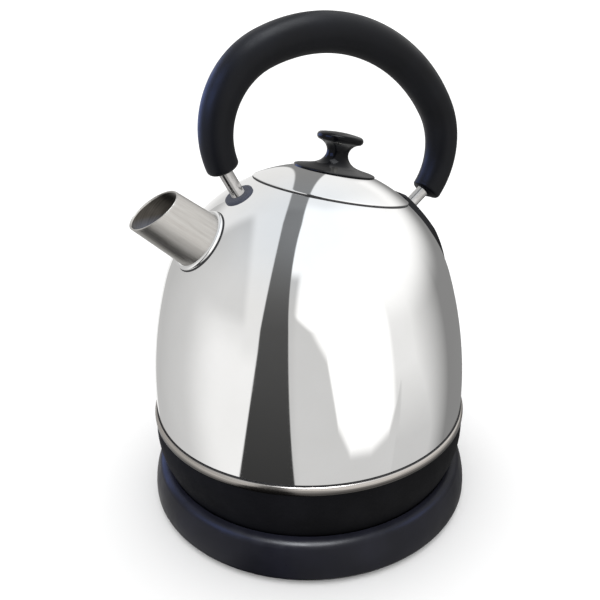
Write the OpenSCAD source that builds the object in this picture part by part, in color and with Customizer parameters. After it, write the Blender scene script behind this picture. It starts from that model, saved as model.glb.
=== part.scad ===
// Cordless electric kettle: domed steel body, arched handle, knobbed lid and a round power base.
// Origin on the swivel axis at table level, +Z up, spout towards -X, gauge and switch towards +X.

/* [Power base] */
// Outer radius of the base ring
base_r = 96.3; // [96.1:0.1:96.5]
// Radius of the arc that forms the base ring's side
side_r = 40; // [39:0.5:42]
// Radius of the base ring's rounded crest
crest_r = 5.5; // [5.3:0.1:5.7]
// Height of the base ring's crest
crest_z = 23.6; // [23.4:0.1:23.8]
// Radius of the rounding under the base ring
under_r = 3; // [2.8:0.1:3.2]
// Wall thickness of the base cover
base_wall = 2.5; // [2.2:0.1:2.6]
// Radius of the dish that the kettle stands in
dish_r = 87.2; // [87:0.1:87.4]
// Height of the dish floor
dish_z = 18.5; // [18.3:0.1:18.5]
// Radius of the raised socket in the middle of the dish
socket_r = 19.5; // [18.5:0.5:20]
// Radius of the cord inlet's bore
inlet_r = 3.7; // [3.2:0.1:4.2]

/* [Kettle body] */
// Radius of the spherical dome
dome_r = 83.4; // [83:0.1:83.8]
// Height of the dome's centre
dome_z = 111.3; // [111:0.1:112]
// Radius of the arc that forms the flank below the dome
flank_r = 246.5; // [244:0.5:249]
// Elevation at which the dome passes into the flank
flank_angle = 17.3; // [17:0.1:17.6]
// Thickness of the steel body wall
shell_wall = 0.8; // [0.6:0.1:1]
// Radius of the rim bead's centre line
rim_r = 90.3; // [90.2:0.1:90.5]
// Radius of the rim bead's section
bead_r = 2.2; // [2.1:0.05:2.3]
// Height of the straight band between the bead's upper and lower rounding
bead_band = 1.3; // [1.1:0.1:1.5]
// Height of the bead's upper rounding centre
rim_z = 56.2; // [56:0.1:56.4]

/* [Skirt] */
// Largest radius of the skirt
skirt_wide_r = 92.2; // [92:0.1:92.2]
// Radius of the arc that bows the skirt in to its foot
skirt_bow = 46; // [45:0.5:46]
// Wall thickness of the skirt
skirt_wall = 2.2; // [2:0.1:2.4]

/* [Lid] */
// Rearward tilt of the lid and handle axis
lid_tilt = 12.3; // [12:0.1:12.6]
// Radius of the lid
lid_r = 43.2; // [43:0.1:43.4]
// Radius of the filling opening
opening_r = 40.2; // [40:0.1:40.4]
// Thickness of the lid cap
lid_wall = 0.7; // [0.6:0.1:0.8]
// Radius of the knob's flange
knob_flange_r = 22.4; // [22:0.1:23]
// Radius of the knob's neck
knob_neck_r = 6; // [5.6:0.1:6.4]
// Radius of the knob's cap
knob_cap_r = 12.7; // [12.4:0.1:13]

/* [Handle] */
// Angle between the lid axis and each handle post
post_angle = 40.5; // [40.3:0.1:40.7]
// Radius of the handle posts
post_r = 3.6; // [3.5:0.1:3.8]
// Half the width of the handle's centre line
arch_half = 72.1; // [71.8:0.1:72.4]
// Height of the handle's widest point at the front, above the dome's centre along the lid axis
arch_front_n = 99.3; // [99:0.1:99.6]
// Height of the handle's widest point at the rear
arch_rear_n = 95.4; // [95.1:0.1:95.7]
// Height of the top of the handle's centre line
arch_peak_n = 150.9; // [150.4:0.1:151.4]
// How far the middle of the top arc lies in front of the lid axis
arch_lean = 3; // [2.7:0.1:3.3]
// Radius of the handle's top arc
arch_top_r = 88.3; // [87.9:0.1:88.7]
// Radius of the arcs that turn in to the posts
arch_end_r = 40.6; // [40.3:0.1:40.9]
// Half the grip's thickness at its ends, in the plane of the handle
grip_end_a = 8.3; // [8:0.1:8.6]
// Half the grip's thickness at its top, in the plane of the handle
grip_top_a = 10.1; // [9.8:0.1:10.4]
// Half the grip's width at its ends, across the plane of the handle
grip_end_b = 9.4; // [9.1:0.1:9.7]
// Half the grip's width at its top, across the plane of the handle
grip_top_b = 11.4; // [11:0.1:11.8]
// How late the grip thickens on the way up, as a power of the height
grip_swell = 1.3; // [1.2:0.1:2]

/* [Spout] */
// Elevation of the spout's axis
spout_angle = 40.6; // [40.2:0.1:41]
// Outer radius of the spout at the body
spout_root_r = 15; // [14.8:0.1:15.2]
// Outer radius of the spout at its mouth
spout_mouth_r = 13.5; // [13.2:0.1:13.8]
// Wall thickness of the spout tube
spout_wall = 0.8; // [0.6:0.1:1]
// Distance from the dome's centre to the upper lip
spout_top = 107.7; // [107:0.1:108.5]
// Distance from the dome's centre to the lower lip
spout_low = 116; // [115:0.1:117]

/* [Gauge and switch] */
// How far the gauge frame stands proud of the body
gauge_proud = 3.4; // [3.2:0.1:3.6]
// Half the width of the gauge frame
gauge_half_w = 25; // [24:0.5:26]
// Width of the gauge window
window_w = 9; // [8:0.5:10]
// Height of the switch pivot
switch_z = 38; // [37.8:0.1:38.2]
// Distance of the switch pivot from the kettle's axis
switch_x = 83; // [82.8:0.1:83.2]

/* [Hidden] */
$fn = 96;

// Colours
SATIN_BLACK = [0.09, 0.09, 0.11];
MATT_BLACK = [0.06, 0.06, 0.07];
GLOSS_BLACK = [0.03, 0.03, 0.035];
STEEL = [0.80, 0.81, 0.82];
BRUSHED = [0.70, 0.71, 0.72];
RUBBER = [0.15, 0.16, 0.20];
BRASS = [0.80, 0.65, 0.30];
ALUMINIUM = [0.72, 0.73, 0.75];
IVORY = [0.85, 0.83, 0.76];
SILICONE = [0.82, 0.82, 0.80];
SMOKED = [0.55, 0.58, 0.60];
AMBER = [0.90, 0.35, 0.10];

// Clearances
GAP = 0.3;
SNUG = 0.1;
RUN = 0.07;
BIG = 400;

// Power base
base_bottom = 1.5;
plate_t = 2;
plate_top = base_bottom + plate_t;
dish_t = 2.5;
dish_under = dish_z - dish_t;
ring_z = base_bottom + under_r;
foot_lip = 1;
lip_r = base_r - under_r - foot_lip;
plate_r = lip_r - GAP;
foot_r = 8;
foot_stem_r = 3;
foot_orbit = 70;
base_screw_orbit = 52;
base_boss_r = 4;
drain_orbit = 32;
drain_r = 2.5;
screw_head_r = 3;
screw_head_t = 1.3;
screw_r = 1.4;
inlet_z = 9.8;
gland_r = 5.5;
gland_flange_r = 7;
gland_nut_r = 5.9;
gland_nut_t = 2;
gland_in = base_r - 11.5;
gland_step = base_r - 2;
gland_out = base_r + 1.5;

// Base socket and shutter
socket_top = 33;
socket_floor = dish_under - 3.4;
shutter_r = 5.5;
shutter_low = 20.1;
shutter_top = 23.6;
groove_in = 10.3;
groove_out = 12.7;
groove_z = 19;
well_z = 16;
contact_t = 0.6;
tab_w = 3;
tab_t = 0.8;
tab_low = 8;
spring_r = 3.6;
spring_wire = 0.3;
spring_turns = 3;
spring_steps = 14;
spring_low = 17;
spring_high = 19.7;

// Kettle underside
skirt_low = dish_z + GAP;
ring_in = 86;
ring_top = rim_z + 1.2;
skirt_top = rim_z - 2.5;
skirt_lip = 2;
skirt_wide_z = 46;
cover_z = skirt_low + skirt_lip;
cover_t = 2;
cover_r = skirt_wide_r - skirt_bow - GAP
    + sqrt(pow(skirt_bow - skirt_wall, 2) - pow(skirt_wide_z - cover_z, 2));
lip_in = 79;
stud_orbit = 73;
stud_r = 3.2;
stud_bore = 1.6;
stud_low = 30;
cup_in = socket_r + 1.5;
cup_out = cup_in + 4;
cup_ceiling = socket_top + 1;
connector_top = cup_ceiling + 4;
pin_r = 2.5;
pin_low = shutter_top + 0.4;
tube_in = 11;
tube_out = 12;
tube_low = 20.6;
gasket_in = 88.6;
gasket_t = 0.8;
shell_low = ring_top + gasket_t;
floor_z = shell_low + SNUG;
control_top = ring_top - 5.8;
control_r = 24;
ear_x = 28;
ear_r = 4;
heat_plate_r = 62;
heat_plate_t = 2.9;
heat_plate_z = floor_z - SNUG - heat_plate_t;
element_orbit = 46;
element_r = 3.4;
element_z = heat_plate_z - SNUG - element_r;
element_gap = 30;

// Steam tube
steam_x = 70;
steam_r = 4;
steam_wall = 0.6;
steam_low = 46;
steam_top = 146;
seal_r = 7;

// Dome profile: the dome's arc passes into the flank's arc on the line that joins their centres
flank_x = -(flank_r - dome_r) * cos(flank_angle);
flank_z = dome_z - (flank_r - dome_r) * sin(flank_angle);
body_low_r = flank_x + flank_r;
floor_r = body_low_r - shell_wall - 0.15;

// Lid
lid_in = dome_r + GAP;
lid_out = lid_in + lid_wall;
seat_wall = 0.8;
seat_low = 65;
liner_r = 38;
liner_wall = 1.2;
liner_low = 63;
liner_top = 74.4;
seal_low = 67.5;
seal_high = 70.5;
knob_edge_n = 82.6;
knob_foot_n = 85.1;
knob_foot_r = 9.5;
neck_arc_r = 7;
neck_arc_n = 91;
knob_cap_n = 99.3;
knob_cap_edge = 2.15;
knob_crown_r = 60;
knob_bore = 2.1;
knob_bore_top = 96;
knob_screw_r = 2;

// Handle: on each side one arc turns in to the post, a second goes round the shoulder, and both
// sides meet in the top arc
top_n = arch_peak_n - arch_top_r;
grip_low_n = 75.9;
END_ROUND = [[0, 1.7], [0.7, 0.5], [2.4, 0]];
END_STEPS = 6;
SHOULDER_STEPS = 9;
TOP_STEPS = 7;
GRIP_SIDES = 24;
grip_face = grip_low_n / cos(post_angle);
post_in = 10;
stud_end = 75;
post_stud_r = 3;
washer_r = 7.8;
washer_t = 1.5;
inner_washer_r = 7.5;
inner_washer_t = 1.4;
nut_r = 5.8;
nut_t = 4.6;
post_shoulder = dome_r + 0.05;

// Spout
collar_r = 17.1;
collar_t = 1.7;
collar_edge = 1.1;
filter_r = 17;
filter_s = dome_r - 5.2;
filter_t = 0.8;
filter_hole = 1.1;
filter_pitch = 3.5;
mouth_middle = (spout_top + spout_low) / 2;
mouth_tilt = atan2(spout_low - spout_top, 2 * spout_mouth_r);
spout_in = 70;
spout_out = 130;

// Gauge
gauge_in = 30;
gauge_low = 66;
gauge_corner = 12;
gauge_shoulder = 156;
gauge_top = 175;
gauge_top_w = 12;
gauge_lid_gap = 1.6;
window_low = 76;
window_high = 130;
seal_margin = 2.5;
seal_t = 0.6;

// Switch
switch_bore = 1.5;
switch_hub_r = 3.6;
switch_w = 22;
ear_t = 3;
switch_tip = 96.6;
lamp_r = 2;
lamp_turn = 14;

// ---------- frames and shared shapes ----------

module lid_frame() {
    translate([0, 0, dome_z]) rotate([0, lid_tilt, 0]) children();
}

// side is -1 for the front post and 1 for the rear post
module post_frame(side) {
    lid_frame() rotate([0, side * post_angle, 0]) children();
}

module spout_frame() {
    translate([0, 0, dome_z]) rotate([0, spout_angle - 90, 0]) children();
}

module tube(r_out, r_in, low, high) {
    translate([0, 0, low]) difference() {
        cylinder(r = r_out, h = high - low);
        translate([0, 0, -1]) cylinder(r = r_in, h = high - low + 2);
    }
}

module rod(r, low, high) {
    translate([0, 0, low]) cylinder(r = r, h = high - low);
}

module ring_of(count, orbit, start = 0) {
    for (i = [0 : count - 1])
        rotate([0, 0, start + i * 360 / count]) translate([orbit, 0, 0]) children();
}

// Half outline of the body, grown outwards by off
module dome_outline(off) {
    far = BIG * [cos(flank_angle), sin(flank_angle)];
    intersection() {
        translate([0, dome_z]) circle(r = dome_r + off, $fn = 300);
        translate([0, dome_z]) polygon([[0, 0], far, [0, BIG]]);
    }
    intersection() {
        translate([flank_x, flank_z]) circle(r = flank_r + off, $fn = 600);
        polygon([[0, dome_z], [0, dome_z] + far, [BIG, shell_low], [0, shell_low]]);
    }
}

// Skin between two offsets of the body's outline
module dome_skin(inner, outer) {
    rotate_extrude() difference() {
        dome_outline(outer);
        dome_outline(inner);
    }
}

// Upright slot with round ends, cut through the rear of the body
module rear_slot(width, low, high) {
    rotate([90, 0, 90]) linear_extrude(height = 120) {
        translate([-width / 2, low]) square([width, high - low]);
        translate([0, low]) circle(r = width / 2);
        translate([0, high]) circle(r = width / 2);
    }
}

// ---------- power base ----------

// Side and crest of the base ring, shrunk by inset
module ring_section(inset) {
    side_c = [base_r - side_r, ring_z];
    lean = asin((crest_z - crest_r - ring_z) / (side_r - crest_r));
    up = [cos(lean), sin(lean)];
    intersection() {
        translate(side_c) circle(r = side_r - inset, $fn = 300);
        polygon([side_c, side_c + [BIG, 0], side_c + BIG * up]);
    }
    translate(side_c + (side_r - crest_r) * up) circle(r = crest_r - inset);
}

module base_cover_outline() {
    crest_x = base_r - side_r + sqrt(pow(side_r - crest_r, 2) - pow(crest_z - crest_r - ring_z, 2));
    difference() {
        union() {
            ring_section(0);
            square([crest_x, crest_z]);
            square([base_r - under_r, ring_z]);
            intersection() {
                translate([base_r - under_r, ring_z]) circle(r = under_r);
                square([BIG, ring_z]);
            }
        }
        translate([0, -BIG + base_bottom]) square([BIG, BIG]);
        translate([0, dish_z]) square([dish_r, BIG]);
        square([lip_r, ring_z + SNUG]);
        difference() {
            union() {
                ring_section(base_wall);
                square([crest_x, dish_under]);
            }
            translate([0, dish_under]) square([dish_r + base_wall, BIG]);
        }
    }
}

module base_cover() {
    color(SATIN_BLACK) difference() {
        union() {
            rotate_extrude() base_cover_outline();
            ring_of(4, base_screw_orbit, 45) rod(base_boss_r, plate_top, dish_under + 0.5);
        }
        rod(socket_r + GAP, 0, socket_top);
        ring_of(4, base_screw_orbit, 45) rod(screw_r + SNUG / 2, 0, dish_under - 1);
        translate([dish_r, 0, inlet_z]) rotate([0, 90, 0]) cylinder(r = gland_r + SNUG, h = 40);
        translate([gland_step, 0, inlet_z]) rotate([0, 90, 0])
            cylinder(r = gland_flange_r + SNUG, h = 40);
    }
}

module base_plate() {
    color(MATT_BLACK) difference() {
        rod(plate_r, base_bottom, plate_top);
        ring_of(4, foot_orbit) rod(foot_stem_r + SNUG / 2, 0, 10);
        ring_of(4, base_screw_orbit, 45) {
            rod(screw_r + 0.2, 0, 10);
            rod(screw_head_r + 0.2, 0, base_bottom + screw_head_t);
        }
        // drain holes
        ring_of(6, drain_orbit, 15) rod(drain_r, 0, 10);
    }
}

module base_feet() {
    color(RUBBER) ring_of(4, foot_orbit) {
        rod(foot_r, 0, base_bottom);
        rod(foot_stem_r, base_bottom, plate_top + 1.5);
    }
}

module base_screws() {
    color(STEEL) ring_of(4, base_screw_orbit, 45) difference() {
        union() {
            rod(screw_head_r, base_bottom, base_bottom + screw_head_t);
            rod(screw_r, base_bottom, dish_under - 3);
        }
        translate([0, 0, base_bottom - 0.1]) {
            translate([-2, -0.35, 0]) cube([4, 0.7, 0.8]);
            translate([-0.35, -2, 0]) cube([0.7, 4, 0.8]);
        }
    }
}

module cord_gland() {
    color(MATT_BLACK) translate([0, 0, inlet_z]) rotate([0, 90, 0]) difference() {
        union() {
            rod(gland_r, gland_in, gland_step);
            rod(gland_flange_r, gland_step, gland_out);
            rod(gland_nut_r, gland_in, gland_in + gland_nut_t);
        }
        rod(inlet_r, gland_in - 1, gland_out + 1);
    }
}

module base_socket() {
    color(MATT_BLACK) difference() {
        rotate_extrude() difference() {
            union() {
                translate([0, socket_floor]) square([socket_r, socket_top - socket_floor - 1.5]);
                translate([0, socket_top - 1.5]) square([socket_r - 1.5, 1.5]);
                translate([socket_r - 1.5, socket_top - 1.5]) circle(r = 1.5);
                translate([0, socket_floor]) square([26, dish_under - socket_floor - SNUG]);
            }
            translate([0, well_z]) square([shutter_r + RUN, BIG]);
            translate([groove_in, groove_z]) square([groove_out - groove_in, BIG]);
        }
        // passages for the contacts' tabs
        for (side = [-1, 1]) translate([side * (tube_in + tube_out) / 2, 0, 0])
            translate([-tab_t, -tab_w / 2 - 0.2, 0]) cube([2 * tab_t, tab_w + 0.4, groove_z + 1]);
        rod(1.6, 0, well_z + 1);
    }
}

module socket_contacts() {
    tab_x = (tube_in + tube_out) / 2;
    color(BRASS) {
        tube(groove_out - 0.2, groove_in + 0.2, groove_z, groove_z + contact_t);
        for (side = [-1, 1]) translate([side * tab_x - tab_t / 2, -tab_w / 2, tab_low])
            cube([tab_t, tab_w, groove_z + contact_t / 2 - tab_low]);
        rod(4.8, well_z, well_z + contact_t);
        rod(1.5, tab_low, well_z + contact_t / 2);
    }
}

// Coil wound as a sweep of a small ring of points along a helix
module socket_spring() {
    steps = spring_turns * spring_steps;
    sides = 6;
    points = [for (i = [0 : steps]) for (j = [0 : sides - 1])
        let (turn = i * 360 / spring_steps, around = j * 360 / sides,
             r = spring_r + spring_wire * cos(around),
             z = spring_low + (spring_high - spring_low) * i / steps + spring_wire * sin(around))
        [r * cos(turn), r * sin(turn), z]];
    walls = [for (i = [0 : steps - 1]) for (j = [0 : sides - 1])
        let (a = i * sides + j, b = a + sides, c = (i + 1) * sides + (j + 1) % sides, d = c - sides)
        each [[a, b, c], [a, c, d]]];
    first = [for (j = [0 : sides - 1]) j];
    last = [for (j = [sides - 1 : -1 : 0]) steps * sides + j];
    color(STEEL) polyhedron(points, concat(walls, [first], [last]), convexity = 6);
}

module socket_shutter() {
    color(IVORY) difference() {
        rod(shutter_r, shutter_low, shutter_top);
        rod(shutter_r - 1.2, shutter_low - 1, shutter_low + 1);
        // dimple that takes the end of the kettle's pin
        translate([0, 0, shutter_top + 5.2]) sphere(r = 6);
    }
}

// ---------- kettle underside ----------

function skirt_at(z) = skirt_wide_r - skirt_bow + sqrt(pow(skirt_bow, 2) - pow(z - skirt_wide_z, 2));

// Half outline of the skirt, shrunk by inset, from low to high
module skirt_outline(inset, low, high) {
    intersection() {
        translate([skirt_wide_r - skirt_bow, skirt_wide_z]) circle(r = skirt_bow - inset, $fn = 300);
        translate([0, low]) square([BIG, high - low]);
    }
}

module skirt() {
    opening_low = switch_z - 8;
    opening_h = 16;
    color(MATT_BLACK) difference() {
        union() {
            rotate_extrude() difference() {
                skirt_outline(0, skirt_low, skirt_top);
                skirt_outline(skirt_wall, skirt_low + skirt_lip, BIG);
                square([lip_in, BIG]);
            }
            // ears that carry the switch pin
            intersection() {
                for (side = [-1, 1])
                    translate([switch_x - 4, side * (switch_w / 2 + 2) - ear_t / 2, switch_z - 5])
                        cube([20, ear_t, 10]);
                rotate_extrude() skirt_outline(0, skirt_low, skirt_top);
            }
        }
        translate([switch_x - 2, -switch_w / 2 - GAP, opening_low])
            cube([20, switch_w + 2 * GAP, opening_h]);
        translate([switch_x, 20, switch_z]) rotate([90, 0, 0])
            cylinder(r = switch_bore + 0.02, h = 40);
        rotate([0, 0, lamp_turn]) translate([skirt_at(switch_z) - 8, 0, switch_z]) rotate([0, 90, 0])
            cylinder(r = lamp_r + 0.1, h = 20);
    }
}

module bottom_cover() {
    color(MATT_BLACK) difference() {
        rod(cover_r, cover_z, cover_z + cover_t);
        rod(cup_out + SNUG, 0, BIG);
        ring_of(3, stud_orbit, 60) {
            rod(screw_r + 0.2, 0, BIG);
            rod(screw_head_r + 0.2, 0, cover_z + 1);
        }
        ring_of(8, 50, 22.5) rod(2, 0, BIG);
    }
}

module bottom_screws() {
    color(STEEL) ring_of(3, stud_orbit, 60) {
        rod(screw_head_r, cover_z - 0.3, cover_z + 1);
        rod(screw_r, cover_z + 1, stud_low + 8);
    }
}

module floor_studs() {
    color(STEEL) ring_of(3, stud_orbit, 60) difference() {
        rod(stud_r, stud_low, floor_z);
        rod(stud_bore, stud_low - 1, stud_low + 14);
    }
}

module connector_body() {
    color(MATT_BLACK) difference() {
        union() {
            rod(cup_out, cover_z, connector_top);
            rod(cup_out + 4, cover_z + cover_t, cover_z + cover_t + 2);
        }
        rod(cup_in, 0, cup_ceiling);
        rod(pin_r, 0, BIG);
        tube(tube_out, tube_in, 0, connector_top - 1);
    }
}

module connector_pins() {
    color(BRASS) {
        rod(pin_r, pin_low, connector_top);
        tube(tube_out, tube_in, tube_low, connector_top - 1);
    }
}

module control_unit() {
    color(IVORY) difference() {
        union() {
            rod(control_r, connector_top, control_top);
            translate([10, -9, connector_top + 2]) cube([50, 18, 8]);
            for (side = [-1, 1]) hull() {
                translate([0, side * ear_x, control_top - 3]) cylinder(r = ear_r, h = 3, $fn = 32);
                translate([0, side * 18, control_top - 3]) cylinder(r = ear_r, h = 3, $fn = 32);
            }
        }
        for (side = [-1, 1]) translate([0, side * ear_x, 0]) rod(screw_r + 0.2, 40, 60);
        for (side = [-1, 1]) translate([side * 12, 0, 0]) rod(7.2, control_top - 1, BIG);
    }
}

module control_screws() {
    color(STEEL) for (side = [-1, 1]) translate([0, side * ear_x, 0]) {
        rod(screw_head_r, control_top - 3 - screw_head_t, control_top - 3);
        rod(screw_r, control_top - 3, heat_plate_z + 2);
    }
}

module bimetal_discs() {
    color(BRASS) for (side = [-1, 1]) translate([side * 12, 0, 0]) {
        rod(7, heat_plate_z - 0.6, heat_plate_z - 0.1);
        rod(1.2, control_top - 1, heat_plate_z - 0.4);
    }
}

module heating_element() {
    color(ALUMINIUM) {
        translate([0, 0, element_z]) rotate([0, 0, element_gap])
            rotate_extrude(angle = 360 - 2 * element_gap)
                translate([element_orbit, 0]) circle(r = element_r);
        for (side = [-1, 1]) rotate([0, 0, side * (element_gap + 3)])
            translate([element_orbit, 0, 0]) rod(1.5, element_z - 9, element_z);
    }
}

module heat_plate() {
    color(ALUMINIUM) difference() {
        rod(heat_plate_r, heat_plate_z, heat_plate_z + heat_plate_t);
        for (side = [-1, 1]) translate([0, side * ear_x, 0]) rod(screw_r + 0.05, 0, heat_plate_z + 2.2);
    }
}

module vessel_floor() {
    color(STEEL) difference() {
        rod(floor_r, floor_z, floor_z + shell_wall);
        translate([steam_x, 0, 0]) rod(steam_r + 1.2, 0, BIG);
    }
}

// The bead laps round the foot of the body and stands on the skirt
module rim_ring() {
    color(STEEL) rotate_extrude() difference() {
        union() {
            translate([rim_r, rim_z]) circle(r = bead_r);
            translate([rim_r, rim_z - bead_band]) circle(r = bead_r);
            translate([rim_r, rim_z - bead_band]) square([bead_r, bead_band]);
            translate([ring_in, skirt_top]) square([rim_r - ring_in, ring_top - skirt_top]);
        }
        translate([0, ring_top]) square([body_low_r + SNUG, BIG]);
        square([BIG, skirt_top]);
    }
}

module rim_gasket() {
    color(RUBBER) tube(body_low_r - SNUG, gasket_in, ring_top, shell_low);
}

// ---------- vessel ----------

module body_shell() {
    color(STEEL) difference() {
        dome_skin(-shell_wall, 0);
        lid_frame() rod(opening_r, 0, BIG);
        spout_frame() rod(spout_root_r - spout_wall, 0, BIG);
        for (side = [-1, 1]) post_frame(side) rod(post_stud_r + 0.2, 0, BIG);
        rear_slot(window_w + GAP, window_low, window_high);
    }
}

module lid_seat() {
    color(STEEL) lid_frame() difference() {
        tube(opening_r, opening_r - seat_wall, seat_low, 80);
        difference() {
            sphere(r = dome_r + 20, $fn = 200);
            sphere(r = dome_r - 0.1, $fn = 200);
        }
    }
}

module steam_tube() {
    color(STEEL) translate([steam_x, 0, 0])
        tube(steam_r, steam_r - steam_wall, steam_low, steam_top);
}

module tube_seal() {
    color(SILICONE) translate([steam_x, 0, 0]) rotate_extrude() difference() {
        translate([0, floor_z - 2]) square([seal_r, shell_wall + 4]);
        square([steam_r + 0.05, BIG]);
        translate([steam_r + 1.15, floor_z]) square([BIG, shell_wall]);
    }
}

// ---------- gauge ----------

// Panel that runs down the rear from the edge of the lid, narrower above its shoulder
module gauge_outline() {
    difference() {
        rotate([90, 0, 90]) translate([0, 0, gauge_in]) linear_extrude(height = BIG) {
            polygon([[-gauge_half_w, gauge_low + gauge_corner], [gauge_half_w, gauge_low + gauge_corner],
                     [gauge_half_w, gauge_shoulder], [gauge_top_w, gauge_top],
                     [-gauge_top_w, gauge_top], [-gauge_half_w, gauge_shoulder]]);
            translate([gauge_corner - gauge_half_w, gauge_low])
                square([2 * (gauge_half_w - gauge_corner), 2 * gauge_corner]);
            for (side = [-1, 1])
                translate([side * (gauge_half_w - gauge_corner), gauge_low + gauge_corner])
                    circle(r = gauge_corner);
        }
        lid_frame() rod(lid_r + gauge_lid_gap, 0, BIG);
    }
}

module gauge_frame() {
    color(GLOSS_BLACK) difference() {
        intersection() {
            dome_skin(0, gauge_proud);
            gauge_outline();
        }
        rear_slot(window_w + GAP, window_low, window_high);
        intersection() {
            dome_skin(-1, seal_t + 0.05);
            rear_slot(window_w + 2 * seal_margin + 0.1, window_low, window_high);
        }
        post_frame(1) rod(post_r + SNUG, 0, BIG);
    }
}

module gauge_window() {
    color(SMOKED) intersection() {
        dome_skin(-shell_wall, gauge_proud + 0.2);
        rear_slot(window_w, window_low, window_high);
    }
}

module gauge_seal() {
    color(SILICONE) intersection() {
        dome_skin(0, seal_t);
        difference() {
            rear_slot(window_w + 2 * seal_margin, window_low, window_high);
            rear_slot(window_w + SNUG, window_low, window_high);
        }
    }
}

// ---------- spout ----------

// Cone of the spout, smaller all round by inset
module spout_cone(inset) {
    slope = (spout_root_r - spout_mouth_r) / (mouth_middle - dome_r);
    translate([0, 0, spout_in])
        cylinder(r1 = spout_root_r - inset + slope * (dome_r - spout_in),
                 r2 = spout_root_r - inset - slope * (spout_out - dome_r), h = spout_out - spout_in);
}

// Everything beyond the mitred mouth
module mouth_cut() {
    translate([0, 0, mouth_middle]) rotate([0, mouth_tilt, 0])
        translate([-50, -50, 0]) cube([100, 100, 60]);
}

module spout() {
    color(BRUSHED) spout_frame() difference() {
        spout_cone(0);
        spout_cone(spout_wall);
        sphere(r = dome_r, $fn = 200);
        mouth_cut();
    }
}

// Ring round the foot of the spout, with a rounded outer shoulder
module spout_collar() {
    seat = sqrt(dome_r * dome_r - collar_r * collar_r);
    high = seat + collar_t + 0.6;
    color(STEEL) spout_frame() difference() {
        rotate_extrude() {
            translate([0, seat - 1]) square([collar_r - collar_edge, high - seat + 1]);
            translate([0, seat - 1]) square([collar_r, high - seat + 1 - collar_edge]);
            translate([collar_r - collar_edge, high - collar_edge]) circle(r = collar_edge);
        }
        spout_cone(0);
        sphere(r = dome_r, $fn = 200);
    }
}

module spout_filter() {
    rows = 4;
    color(STEEL) spout_frame() difference() {
        union() {
            rod(filter_r, filter_s, filter_s + filter_t);
            tube(filter_r, filter_r - 0.8, filter_s, filter_s + 2.2);
        }
        for (i = [-rows : rows]) for (j = [-rows : rows])
            let (x = filter_pitch * (i + j / 2), y = filter_pitch * j * sin(60))
            if (norm([x, y]) < 14) translate([x, y, filter_s - 1]) cylinder(r = filter_hole, h = 4);
    }
}

// ---------- handle ----------

// Stations along one side of the handle, from its post to the top. Each holds the distance from the
// lid axis, the height, the angle of the outward normal and the inset of the section. side is -1 at
// the front and 1 at the rear.
function station(side, x, n, r, angle, inset) =
    [side * (x + r * cos(angle)), n + r * sin(angle), side > 0 ? angle : 180 - angle, inset];

function half_arch(side, wide_n) =
    let (reach = arch_half + side * arch_lean, rise = wide_n - top_n,
         r = (pow(arch_top_r, 2) - pow(reach, 2) - pow(rise, 2)) / (2 * (arch_top_r - reach)),
         join = atan2(rise, reach - r),
         sweep = asin((wide_n - grip_low_n) / arch_end_r), rest = sweep - END_ROUND[2][0])
    concat(
        [for (e = END_ROUND)
            station(side, arch_half - arch_end_r, wide_n, arch_end_r, e[0] - sweep, e[1])],
        [for (i = [1 : END_STEPS - 1])
            station(side, arch_half - arch_end_r, wide_n, arch_end_r, -rest * (1 - i / END_STEPS), 0)],
        [for (i = [0 : SHOULDER_STEPS - 1])
            station(side, arch_half - r, wide_n, r, join * i / SHOULDER_STEPS, 0)],
        [for (i = [0 : TOP_STEPS])
            station(side, -side * arch_lean, top_n, arch_top_r, join + (90 - join) * i / TOP_STEPS, 0)]
    );

FRONT_ARCH = half_arch(-1, arch_front_n);
ARCH = concat(half_arch(1, arch_rear_n), [for (i = [len(FRONT_ARCH) - 2 : -1 : 0]) FRONT_ARCH[i]]);

// How far up the handle a station is, from 0 at the ends to 1 at the top
function climb(n) = max(0, min(1, (n - grip_low_n) / (arch_peak_n - grip_low_n)));

function grip_ring(s) =
    let (t = climb(s[1]), a = grip_end_a + (grip_top_a - grip_end_a) * pow(t, grip_swell) - s[3],
         b = grip_end_b + (grip_top_b - grip_end_b) * (3 - 2 * t) * t * t - s[3])
    [for (j = [0 : GRIP_SIDES - 1])
        let (around = 360 * j / GRIP_SIDES, out = a * cos(around))
        [s[0] + out * cos(s[2]), b * sin(around), s[1] + out * sin(s[2])]];

module grip_body() {
    rings = len(ARCH);
    points = [for (s = ARCH) each grip_ring(s)];
    walls = [for (i = [0 : rings - 2]) for (j = [0 : GRIP_SIDES - 1])
        let (k = (j + 1) % GRIP_SIDES)
        [i * GRIP_SIDES + j, i * GRIP_SIDES + k, (i + 1) * GRIP_SIDES + k, (i + 1) * GRIP_SIDES + j]];
    first = [for (j = [GRIP_SIDES - 1 : -1 : 0]) j];
    last = [for (j = [0 : GRIP_SIDES - 1]) (rings - 1) * GRIP_SIDES + j];
    polyhedron(points, concat(walls, [first], [last]), convexity = 8);
}

module handle_posts() {
    color(STEEL) for (side = [-1, 1]) post_frame(side) {
        rod(post_r, post_shoulder, grip_face + post_in);
        rod(post_stud_r, stud_end, post_shoulder);
    }
}

module handle_grip() {
    color(SATIN_BLACK) difference() {
        lid_frame() grip_body();
        for (side = [-1, 1]) post_frame(side) rod(post_r + 0.05, dome_r, grip_face + post_in + 0.5);
    }
}

module front_washer() {
    color(RUBBER) post_frame(-1) difference() {
        rotate_extrude() difference() {
            union() {
                translate([0, dome_r - 3]) square([washer_r, washer_t + 2.2]);
                translate([0, dome_r - 3]) square([washer_r - 0.8, washer_t + 3]);
                translate([washer_r - 0.8, dome_r + washer_t - 0.8]) circle(r = 0.8);
            }
            square([post_r + 0.05, BIG]);
        }
        sphere(r = dome_r, $fn = 200);
    }
}

module inner_washers() {
    top = dome_r - shell_wall - 0.4;
    color(STEEL) for (side = [-1, 1]) post_frame(side)
        tube(inner_washer_r, post_stud_r + 0.1, top - inner_washer_t, top);
}

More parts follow.
